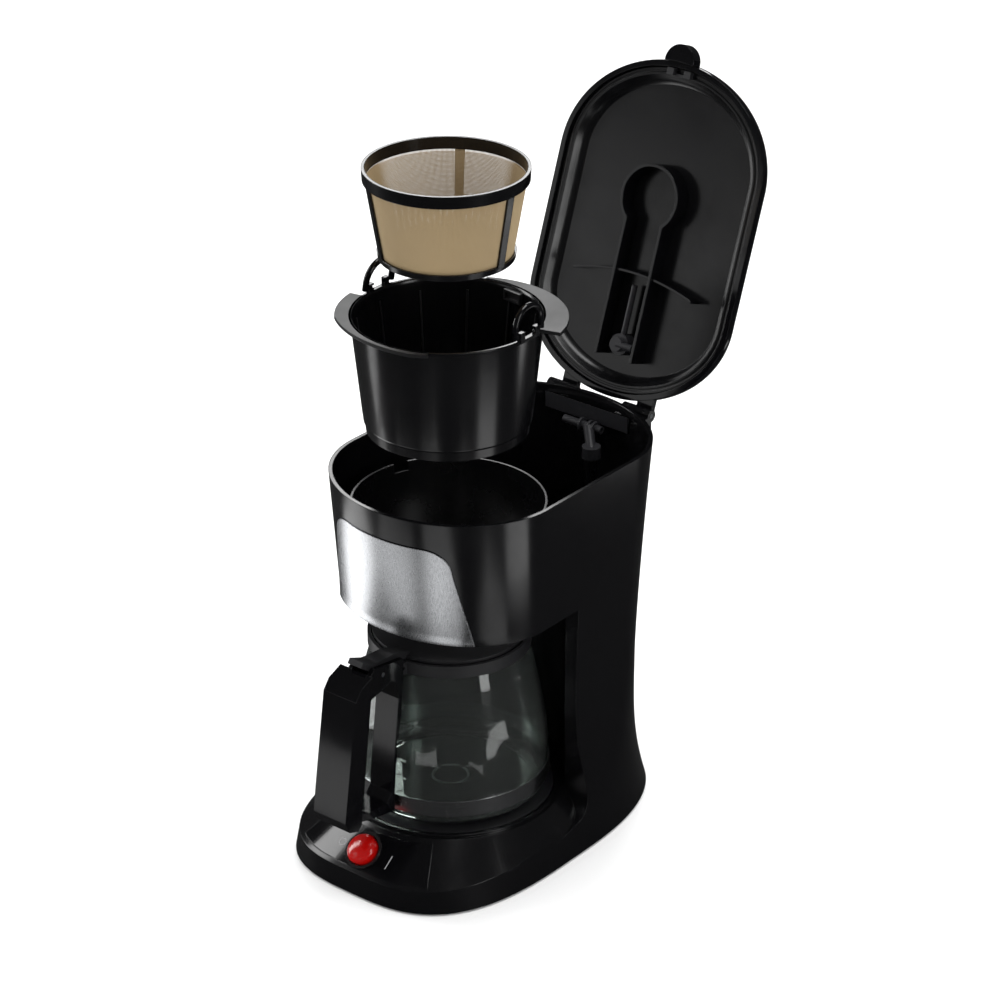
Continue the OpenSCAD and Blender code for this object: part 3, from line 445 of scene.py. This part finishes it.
def block(name, low, high):
    return prism(name, [(low[0], low[1]), (high[0], low[1]), (high[0], high[1]), (low[0], high[1])], low[2], high[2])


def switch_frame():
    """The place and slope of the switch on the deck."""
    slope, y = DECK["z"] / (DECK["front"] - DECK["r"]), -85
    at = Vector((0, y, DECK["z"] - (-y - DECK["r"]) * slope)) * MM
    return Matrix.Translation(at) @ Matrix.Rotation(math.atan(slope), 4, "X")


def moved(ob, matrix):
    ob.data.transform(matrix)
    return ob


def control_area(gap):
    """A sector of the deck in front of the plate, as a drawing seen from above."""
    half, inner = math.radians(31), 74 - gap
    arc = [(inner * math.sin(a), -inner * math.cos(a)) for a in levels(half, -half, 48)]
    return [(160 * math.sin(a), -160 * math.cos(a)) for a in (-half, half)] + arc


def control_slab(name, top_drop, low_drop, gap):
    slab = cut(deck(name, top_drop), deck("under", low_drop))
    combine(slab, "INTERSECT", prism("area", control_area(gap), 0, 60))
    return combine(slab, "INTERSECT", prism("edge", outline(12, 3.2 - gap), 0, 60))


def add_housing():
    shell = tower("housing shell", levels(FOOT_GAP, 62, 24) + levels(65, RIM["z"], 34))
    cut(shell, cut(bay_space("bay"), deck("deck")))
    cut(shell, cut(tower("tank", levels(TANK_FLOOR_Z, RIM["z"] + 1, 34), WALL), bay_space("bay wall", WALL)))
    cut(shell, combine(tower("base room", levels(-1, DECK["z"], 16), WALL), "INTERSECT", deck("deck underside", 2.8)))
    rear_half = block("rear half", (-120, BAY_EDGE + BAY_SWEEP + WALL, -1), (120, 220, 50))
    rear_room = combine(tower("rear room", levels(-1, 50, 20), WALL), "INTERSECT", rear_half)
    cut(shell, cut(rear_room, rod("plate room", (0, 0, 43), BAY_R + WALL, 16, "z", 192)))
    cut(shell, rod("plate hole", (0, 0, 36), 60, 12, "z", 128))
    lip = [(66.2, 35.5), (69, 35.5), (69, 37.9), (68.6, 38.2), (66.6, 38.2), (66.2, 37.9)]
    combine(shell, "UNION", ring_solid("plate ring", lip))
    cut(shell, rod("well hole", (0, 0, HEAD["z"] + 1), WELL_FOOT_R, 6, "z", 128))
    y, z = HINGE["y"], HINGE["z"]
    for side in (-1, 1):
        for x in (21.25, 38.75):
            ear = rod("ear", (side * x, y, z), HINGE["ear"], 4.5, "x")
            foot = (side * x - 2.25, back_at(x + 2.25, z - 12, 1.2), z - 12)
            combine(ear, "UNION", block("ear foot", foot, (side * x + 2.25, y, z)))
            combine(shell, "UNION", ear)
        cut(shell, rod("knuckle room", (side * 30, y, z), 5.2, 13, "x"))
    cut(shell, rod("pin hole", (0, y, z), HINGE["pin"] + 0.05, 100, "x"))
    cut(shell, rod("gland hole", (0, 145.3, 20), 6.1, 30, "y"), rod("gland recess", (0, 155.3, 20), 10, 20, "y"))
    cut(shell, control_slab("control pocket", -3, 1.5, 0.15))
    cut(shell, moved(rod("switch hole", (0, 0, -2), 11.3, 12, "z", 96), switch_frame()))
    piece(smooth(shell), "housing_shell", "abs", "housing", ["housing"])


def add_front_panel():
    heights = levels(100, RIM["z"], 30)
    panel = cut(tower("front panel", heights, -0.8), tower("inside", levels(99, RIM["z"] + 1, 30), -0.05))
    low, top, wide, narrow, corner = HEAD["z"] + 0.4, RIM["z"] - 18.3, 54, 45.5, 15
    arc = [(narrow - corner + corner * math.cos(a), top - corner + corner * math.sin(a))
           for a in levels(0, math.pi / 2, 16)]
    drawing = [(-wide, low), (wide, low)] + arc + [(-x, z) for x, z in reversed(arc)]
    combine(panel, "INTERSECT", prism("panel edge", drawing, -100, -20, "y"))
    piece(smooth(panel, math.radians(28)), "front_plate", "steel", "housing", ["front_panel"])


def add_control_panel():
    slab = control_slab("control panel", 0, 1.4, 0)
    cut(slab, moved(rod("switch hole", (0, 0, 0), 11.3, 20, "z", 96), switch_frame()))
    piece(smooth(slab), "control_plate", "gloss", "housing", ["control_panel"])


def flat_mark(name, loop, hole=None):
    """A thin printed mark: a closed loop of (x, y) points laid on the sloping deck."""
    def lift(p, h):
        return (p[0], p[1], deck_height(*p) + h)
    top = [lift(p, 0.12) for p in loop]
    low = [lift(p, -0.3) for p in loop]
    mark = solid(name, [low, top])
    if hole:
        cut(mark, solid("hole", [[lift(p, -1) for p in hole], [lift(p, 1) for p in hole]]))
    return mark


def oval(radius, lean):
    """A circle drawn on the deck's slope, seen from above."""
    return [(-17.5 + radius * math.cos(a), -84.6 + radius * lean * math.sin(a)) for a in levels(0, math.tau, 32)[:-1]]


def add_marks():
    lean = math.cos(math.atan(DECK["z"] / (DECK["front"] - DECK["r"])))
    off = flat_mark("off sign", oval(2.7, lean), oval(2.15, lean))
    piece(off, "sign_off", "print", "housing")
    on = flat_mark("on sign", [(19.8, -88.5), (20.4, -88.5), (20.4, -81.0), (19.8, -81.0)])
    piece(on, "sign_on", "print", "housing")


LID_ANGLE, LID_HEIGHT = 110, 16.5
LID_LOW = RIM["z"] + 0.4


def lid_frame():
    pivot = Vector((0, HINGE["y"], HINGE["z"])) * MM
    return Matrix.Translation(pivot) @ Matrix.Rotation(math.radians(-LID_ANGLE), 4, "X") @ Matrix.Translation(-pivot)


def curve_point(a, b, c, d, t):
    """A point between b and c on a curve through all four."""
    return 0.5 * (2 * b + (c - a) * t + (2 * a - 5 * b + 4 * c - d) * t * t + (3 * b - a - 3 * c + d) * t ** 3)


def rounded_rows(rows, per_step=5):
    """A smooth run of (height, inset) pairs through the given ones."""
    made = []
    for i in range(len(rows) - 1):
        near = [rows[min(max(i + k, 0), len(rows) - 1)] for k in (-1, 0, 1, 2)]
        made += [tuple(curve_point(*four, step / per_step) for four in zip(*near)) for step in range(per_step)]
    return made + [rows[-1]]


def lid_solid(name, rows):
    return solid(name, [[(x, y, LID_LOW + h * LID_HEIGHT) for x, y in outline(RIM["z"], inset)] for h, inset in rows])


def add_lid():
    outside = [(0, -0.4), (0.1, -0.9), (0.26, -0.9), (0.45, 0.3), (0.63, 3.4), (0.79, 8), (0.91, 15),
               (0.97, 24), (1, 36)]
    inside = [(-0.06, 3), (0.1, 3.2), (0.44, 3.6), (0.6, 6), (0.71, 10.5), (0.81, 17), (0.86, 26)]
    y, z = HINGE["y"], HINGE["z"]
    shell = lid_solid("lid", rounded_rows(outside))
    tab = rod("tab", (0, -RIM["front"] - 1, LID_LOW), 11, 8, "z", 96)
    cut(tab, prism("rim", outline(RIM["z"], -0.8), LID_LOW - 5, LID_LOW + 0.2))
    combine(shell, "UNION", tab)
    arm_y = back_at(36, RIM["z"], 1.5)
    for x in (-36, 24):
        combine(shell, "UNION", block("arm", (x, arm_y, LID_LOW + 0.2), (x + 12, y + 3.6, LID_LOW + 4)))
    cut(shell, lid_solid("lid inside", inside))
    for x in (-36, 24):
        knuckle = rod("knuckle", (x + 6, y, z), HINGE["ear"], 12, "x")
        combine(knuckle, "UNION", block("knuckle arm", (x, y - 2, z), (x + 12, y + 3.6, LID_LOW + 3)))
        combine(shell, "UNION", knuckle)
    cut(shell, rod("pin hole", (0, y, z), HINGE["pin"] + 0.1, 100, "x"))
    piece(smooth(moved(shell, lid_frame())), "lid_cover", "gloss", "lid", ["lid_shell"])


def add_liner():
    """The lid's inner moulding: a flat lip, a double groove and a sunk panel with a sheet's thickness behind it."""
    lip = [(2.6, 3.8), (2.6, 5.2), (3.1, 5.5), (3.1, 6.6), (2.6, 6.9), (2.6, 8.2)]
    sunk = [(3.4, 8.8), (6.2, 10.4), (8.6, 12.2), (10.0, 14.4)]
    back = [(11.4, 14.4), (11.6, 11.5), (4.4, 8.2), (4.4, 3.8)]
    rows = lip + sunk + back
    points = [(x, y, LID_LOW + h) for h, inset in rows for x, y in outline(RIM["z"], inset)]
    count, panel = len(points) // len(rows), len(lip + sunk) - 1
    faces = [face for i in range(len(rows)) if i != panel for face in strip(i, (i + 1) % len(rows), count)]
    liner = closed_mesh("liner", points, faces + [cap(panel, count), cap(panel + 1, count)])
    piece(smooth(moved(liner, lid_frame())), "lid_lining", "lid_inner", "lid", ["lid_liner"])


# ---- Repeating pieces, made by node trees -------------------------------------------


class Tree:
    """A geometry node tree with named inputs."""

    def __init__(self, name, **sizes):
        self.group = bpy.data.node_groups.new(name, "GeometryNodeTree")
        self.sizes = sizes
        kinds = {int: "NodeSocketInt", float: "NodeSocketFloat", bpy.types.Material: "NodeSocketMaterial"}
        for label, value in sizes.items():
            kind = kinds[type(value)]
            self.group.interface.new_socket(label.replace("_", " "), in_out="INPUT", socket_type=kind)
        self.group.interface.new_socket("Geometry", in_out="OUTPUT", socket_type="NodeSocketGeometry")
        self.inputs = self.group.nodes.new("NodeGroupInput")

    def size(self, label):
        return self.inputs.outputs[label]

    def add(self, kind, *inputs, **settings):
        return node(self.group, kind, *inputs, **settings)

    def thread(self, curve, radius, sides=4):
        """A round wire along a curve."""
        profile = self.add("GeometryNodeCurvePrimitiveCircle", sockets={"Radius": radius, "Resolution": sides})
        return self.add("GeometryNodeCurveToMesh", curve, profile)

    def spread(self, count, shape, position=None, rotation=None, scale=None):
        """Copies of a shape on a numbered row of points."""
        points = self.add("GeometryNodePoints", count, position)
        return self.add("GeometryNodeInstanceOnPoints", points,
                        sockets={"Instance": shape, "Rotation": rotation, "Scale": scale})

    def round_turn(self, count, offset=0.0):
        """The rotation of each of a number of copies shared evenly round a circle."""
        index = self.add("GeometryNodeInputIndex")
        step = self.add("ShaderNodeMath", math.tau, count, operation="DIVIDE")
        angle = self.add("ShaderNodeMath", index, step, offset, operation="MULTIPLY_ADD")
        return self.add("ShaderNodeCombineXYZ", None, None, angle)

    def build(self, name, *parts):
        join = self.add("GeometryNodeJoinGeometry", list(parts))
        real = self.add("GeometryNodeRealizeInstances", join)
        dressed = self.add("GeometryNodeSetMaterial", real, sockets={"Material": self.size("Material")})
        self.add("NodeGroupOutput", dressed)
        ob = link(bpy.data.objects.new(name, bpy.data.meshes.new(name)))
        mod = ob.modifiers.new(name, "NODES")
        mod.node_group = self.group
        for item in self.group.interface.items_tree:
            if item.in_out == "INPUT":
                mod[item.identifier] = self.sizes[item.name.replace(" ", "_")]
        return settle(ob)


WELL_TOP = 237
SEAT_Z = WELL_TOP + 2.2 - 74
BASKET_Z = SEAT_Z + 121.8
FILTER_Z = BASKET_Z + 10 + 101.9
FILTER = {"r": 50.0, "low": 41.0, "h": 56.0, "band": 7.6}


def filter_side(h):
    return between(FILTER["low"], FILTER["r"] - 1, h / (FILTER["h"] - FILTER["band"]))


def add_weave():
    """Woven monofilament, thirteen threads to the centimetre: coarser than real cloth so that it shows."""
    top_h = FILTER["h"] - FILTER["band"]
    tree = Tree("filter cloth", Pitch=0.75 * MM, Thread=0.26 * MM, Low_radius=(FILTER["low"] - 1.6) * MM,
                Top_radius=(filter_side(top_h) - 1.6) * MM, Low_height=(FILTER_Z + 2) * MM,
                Top_height=(FILTER_Z + top_h) * MM, Material=M["mesh"])
    pitch, thread, low_r, top_r, low_z, top_z = (
        tree.size(label) for label in ("Pitch", "Thread", "Low radius", "Top radius", "Low height", "Top height"))
    index = tree.add("GeometryNodeInputIndex")
    # Upright threads round the cone
    line = tree.add("GeometryNodeCurvePrimitiveLine", tree.add("ShaderNodeCombineXYZ", low_r, None, low_z),
                    tree.add("ShaderNodeCombineXYZ", top_r, None, top_z))
    round_cloth = tree.add("ShaderNodeMath", top_r, math.tau, operation="MULTIPLY")
    around = tree.add("ShaderNodeMath", round_cloth, pitch, operation="DIVIDE")
    uprights = tree.spread(around, tree.thread(line, thread), rotation=tree.round_turn(around))
    # Hoops up the cone, each scaled from the top one
    hoop = tree.add("GeometryNodeCurvePrimitiveCircle", sockets={"Radius": top_r, "Resolution": 96})
    rise = tree.add("ShaderNodeMath", top_z, low_z, operation="SUBTRACT")
    rows = tree.add("ShaderNodeMath", rise, pitch, operation="DIVIDE")
    share = tree.add("ShaderNodeMath", index, rows, operation="DIVIDE")
    height = tree.add("ShaderNodeMath", share, rise, low_z, operation="MULTIPLY_ADD")
    waist = tree.add("ShaderNodeMath", low_r, top_r, operation="DIVIDE")
    across = tree.add("ShaderNodeMapRange", share, 0.0, 1.0, waist, 1.0)
    hoops = tree.spread(rows, tree.thread(hoop, thread), tree.add("ShaderNodeCombineXYZ", None, None, height),
                        scale=tree.add("ShaderNodeCombineXYZ", across, across, 1.0))
    # Two sets of threads across the bottom, cut to the circle
    strand = tree.add("GeometryNodeCurvePrimitiveLine", (0, -1, 0), (0, 1, 0))
    half_lines = tree.add("ShaderNodeMath", low_r, pitch, operation="DIVIDE")
    lines = tree.add("ShaderNodeMath", half_lines, 2.0, operation="MULTIPLY")
    middle = tree.add("ShaderNodeMath", index, 0.5, operation="ADD")
    edge = tree.add("ShaderNodeMath", middle, pitch, operation="MULTIPLY")
    x = tree.add("ShaderNodeMath", edge, low_r, operation="SUBTRACT")
    tilt = tree.add("ShaderNodeMath", x, low_r, operation="DIVIDE")
    square = tree.add("ShaderNodeMath", tilt, tilt, operation="MULTIPLY")
    left_over = tree.add("ShaderNodeMath", 1.0, square, operation="SUBTRACT")
    share_long = tree.add("ShaderNodeMath", left_over, operation="SQRT")
    reach = tree.add("ShaderNodeMath", share_long, low_r, operation="MULTIPLY")
    warp = tree.spread(lines, tree.thread(strand, thread), tree.add("ShaderNodeCombineXYZ", x, None, low_z),
                       scale=tree.add("ShaderNodeCombineXYZ", 1.0, reach, 1.0))
    weft = tree.add("GeometryNodeTransform", warp, sockets={"Rotation": (0, 0, math.pi / 2)})
    cloth = tree.build("filter_cloth", uprights, hoops, warp, weft)
    piece(smooth(cloth, math.radians(60)), "filter_cloth", "mesh", "filter", ["filter_mesh"])


# How thick the carafe's floor is
JUG_FLOOR = 2.4
BASKET = {"top": 58.4, "low": 51.3, "h": 74.0, "wall": 1.6, "floor": 4.0}


def basket_radius(h):
    return between(BASKET["low"], BASKET["top"], (h - 6) / (BASKET["h"] - 6))


def wing(name, start, end, radius, shift, toward):
    """A crescent on the basket's rim, from one angle to another, square cut where it ends."""
    a = math.radians(toward)
    cx, cy = shift * math.cos(a), shift * math.sin(a)
    outer, inner = [], []
    for t in levels(math.radians(start), math.radians(end), 60):
        along = cx * math.cos(t) + cy * math.sin(t)
        reach = along + math.sqrt(max(radius ** 2 - (cx ** 2 + cy ** 2) + along ** 2, 0))
        reach = max(reach, BASKET["top"] - 0.4)
        outer.append((reach * math.cos(t), reach * math.sin(t)))
        inner.append(((BASKET["top"] - 1) * math.cos(t), (BASKET["top"] - 1) * math.sin(t)))
    top = BASKET_Z + BASKET["h"]
    made = prism(name, outer + inner[::-1], top - 2.2, top)
    combine(made, "INTERSECT", prism("inside of the rim", outline(WELL_TOP, WALL + 1.3), top - 20, top + 20))
    return made


def add_basket():
    top, low, h, wall, floor = (BASKET[k] for k in ("top", "low", "h", "wall", "floor"))
    rim_z = BASKET_Z + h
    profile = [(6, floor - 2), (low - 3, floor - 2), (low - 2.6, 6.2), (low - 0.3, 6.2), (low, 6.6), (low + 0.1, 7.6)]
    profile += [(basket_radius(z), z) for z in levels(12, h - 2.6, 12)]
    profile += [(top + 1.1, h - 2.2), (top + 1.1, h - 0.5), (top + 0.6, h), (top - 0.9, h), (top - 1.2, h - 0.4)]
    profile += [(top - wall, h - 0.9)]
    profile += [(basket_radius(z) - wall, z) for z in reversed(levels(8 + wall, h - 2.6, 12))]
    profile += [(low - wall - 1, 6 + wall), (low - 5, floor), (6, floor)]
    shell = ring_solid("basket", [(r, z + BASKET_Z) for r, z in profile], 192)
    for side in (-1, 1):
        x0, x1 = sorted((side * (top - 1.4), side * (top + 1.5)))
        ear = block("ear", (x0, -4.5, rim_z - 2), (x1, 13.5, rim_z + 4.7))
        cut(ear, block("ear gap", (x0 - 5, -0.5, rim_z), (x1 + 5, 9.5, rim_z + 9)))
        combine(shell, "UNION", ear)
    for side in (-1, 1):
        cut(shell, rod("pivot", (side * (top - 0.4), 4.5, rim_z + 2.7), 1.26, 40, "y"))
    piece(smooth(shell), "basket_bowl", "abs", "basket", ["basket"])
    # The wings and the clip take the lighter grey of the painted sheen
    for name, shape in (("wing_right", (16, 106, top + 1.6, 13, 25)), ("wing_left", (191, 299, top + 2.6, 6.5, 215))):
        piece(smooth(wing(name, *shape)), name, "satin", "basket")
    clip = block("clip", (top - 5, -7, rim_z - 9), (top - 2, 7, rim_z - 2))
    cut(clip, block("clip window", (top - 8, -5.6, rim_z - 7.6), (top - 3.4, 5.6, rim_z - 3.4)))
    moved(clip, Matrix.Rotation(math.radians(83), 4, "Z"))
    piece(smooth(clip), "rim_clip", "satin", "basket")


def add_basket_ribs():
    """Twelve upright ribs inside the basket's wall, and six on its floor that carry the filter."""
    # The ribs take the lighter grey of the painted sheen, so that highlights show on them
    tree = Tree("basket ribs", Wall_ribs=12, Floor_ribs=6, Low_radius=(BASKET["low"] - 1.9) * MM,
                Top_radius=(BASKET["top"] - 2.1) * MM, Low=(BASKET_Z + 12) * MM, Top=(BASKET_Z + 66) * MM,
                Floor=(BASKET_Z + 6.9) * MM, Material=M["satin"])
    line = tree.add("GeometryNodeCurvePrimitiveLine",
                    tree.add("ShaderNodeCombineXYZ", tree.size("Low radius"), None, tree.size("Low")),
                    tree.add("ShaderNodeCombineXYZ", tree.size("Top radius"), None, tree.size("Top")))
    profile = tree.add("GeometryNodeCurvePrimitiveQuadrilateral", sockets={"Width": 1.2 * MM, "Height": 1.6 * MM})
    bar = tree.add("GeometryNodeCurveToMesh", line, profile, sockets={"Fill Caps": True})
    wall_turn = tree.round_turn(tree.size("Wall ribs"), math.radians(27))
    walls = tree.spread(tree.size("Wall ribs"), bar, rotation=wall_turn)
    foot = tree.add("GeometryNodeMeshCube", (28 * MM, 2 * MM, 6.1 * MM))
    placed = tree.add("GeometryNodeTransform", foot,
                      sockets={"Translation": tree.add("ShaderNodeCombineXYZ", 28 * MM, None, tree.size("Floor"))})
    floors = tree.spread(tree.size("Floor ribs"), placed, rotation=tree.round_turn(tree.size("Floor ribs")))
    ribs = tree.build("basket_ribs", walls, floors)
    piece(smooth(ribs), "basket_ribs", "satin", "basket")


def add_jug_mark():
    """The ring that a press leaves on the jug's floor. Its opaque pale grey-green colour is a painted highlight."""
    floor = min(v.co.z for v in NODES["carafe_glass"].data.vertices) / MM + JUG_FLOOR
    profile = [(10.4, floor + 0.05), (10.9, floor + 0.7), (11.9, floor + 0.7), (12.4, floor + 0.05)]
    ring = ring_solid("mark", profile, 96)
    piece(smooth(ring), "floor_ring", "glass_edge", "carafe")


def add_spring():
    tree = Tree("valve spring", Radius=4.2 * MM, Wire=0.4 * MM, Length=4.6 * MM, Turns=4.0,
                Base=(BASKET_Z - 3.0) * MM, Material=M["spring"])
    radius = tree.size("Radius")
    coil = tree.add("GeometryNodeCurveSpiral",
                    sockets={"Rotations": tree.size("Turns"), "Start Radius": radius, "End Radius": radius,
                             "Height": tree.size("Length"), "Resolution": 32})
    lift = tree.add("ShaderNodeCombineXYZ", None, None, tree.size("Base"))
    placed = tree.add("GeometryNodeTransform", tree.thread(coil, tree.size("Wire"), 8), sockets={"Translation": lift})
    spring = tree.build("valve_coil", placed)
    piece(smooth(spring, math.radians(60)), "valve_coil", "spring", "basket", ["valve_spring"])


# ---- Setting ------------------------------------------------------------------------

# Soft cards lying at the sweep's level, which the gloss mirrors: x, y, half width and depth, brightness
LOW_CARDS = [(-0.34, -0.15, 0.09, 0.11, 2.4), (-0.14, -0.32, 0.10, 0.06, 0.9), (0.10, -0.34, 0.08, 0.07, 1.2),
             (0.29, -0.14, 0.07, 0.07, 1.0), (0.44, 0.02, 0.06, 0.10, 2.2), (-0.54, -0.27, 0.07, 0.08, 2.0),
             (0.41, 0.52, 0.05, 0.08, 2.2)]


def sweep(tree):
    """White to the eye and to diffuse light, dark to mirrored light, as black flags round a set make it."""
    gloss = node(tree, "ShaderNodeLightPath", out="Is Glossy Ray")
    return {"Base Color": node(tree, "ShaderNodeMix", gloss, data_type="RGBA", out=2,
                               sockets={6: linear("#fbfbfb"), 7: linear("#1c1c1c")})}


def add_setting():
    bpy.ops.mesh.primitive_plane_add(size=12)
    floor = bpy.context.object
    floor.name = "floor"
    floor.data.materials.append(shader("matt white painted sweep", sweep, Roughness=0.7))
    world = bpy.context.scene.world or bpy.data.worlds.new("world")
    bpy.context.scene.world = world
    world.use_nodes = True
    tree = world.node_tree
    back = tree.nodes["Background"]
    back.inputs[0].default_value = linear("#ffffff")
    gloss = node(tree, "ShaderNodeLightPath", out="Is Glossy Ray")
    tree.links.new(node(tree, "ShaderNodeMapRange", gloss, 0.0, 1.0, 1.0, 0.05), back.inputs[1])
    area_light("left softbox", (-1.5, -0.5, 0.7), (0, 0, 0.25), (0.45, 1.6), 14)
    area_light("rear softbox", (-0.95, 1.35, 1.3), (0, 0, 0.3), (0.9, 0.5), 9)
    area_light("front card", (-1.0, -1.3, 0.55), (0, 0.2, 0.38), (0.7, 0.5), 0.8)
    area_light("top softbox", (0.1, 0.5, 2.2), (0, 0, 0.2), (1.4, 1.0), 22)
    area_light("right softbox", (1.5, -0.1, 0.5), (0, 0, 0.2), (0.35, 1.4), 6)
    for x, y, half_x, half_y, brightness in LOW_CARDS:
        watts = brightness * math.pi * 4 * half_x * half_y
        area_light("low card", (x, y, 0.002), (x, y, 1), (2 * half_x, 2 * half_y), watts)
    bpy.context.scene.view_settings.view_transform = "Standard"


add_camera()
add_housing()
add_front_panel()
add_control_panel()
add_marks()
add_lid()
add_liner()
add_basket()
add_basket_ribs()
add_weave()
add_jug_mark()
add_spring()
add_setting()
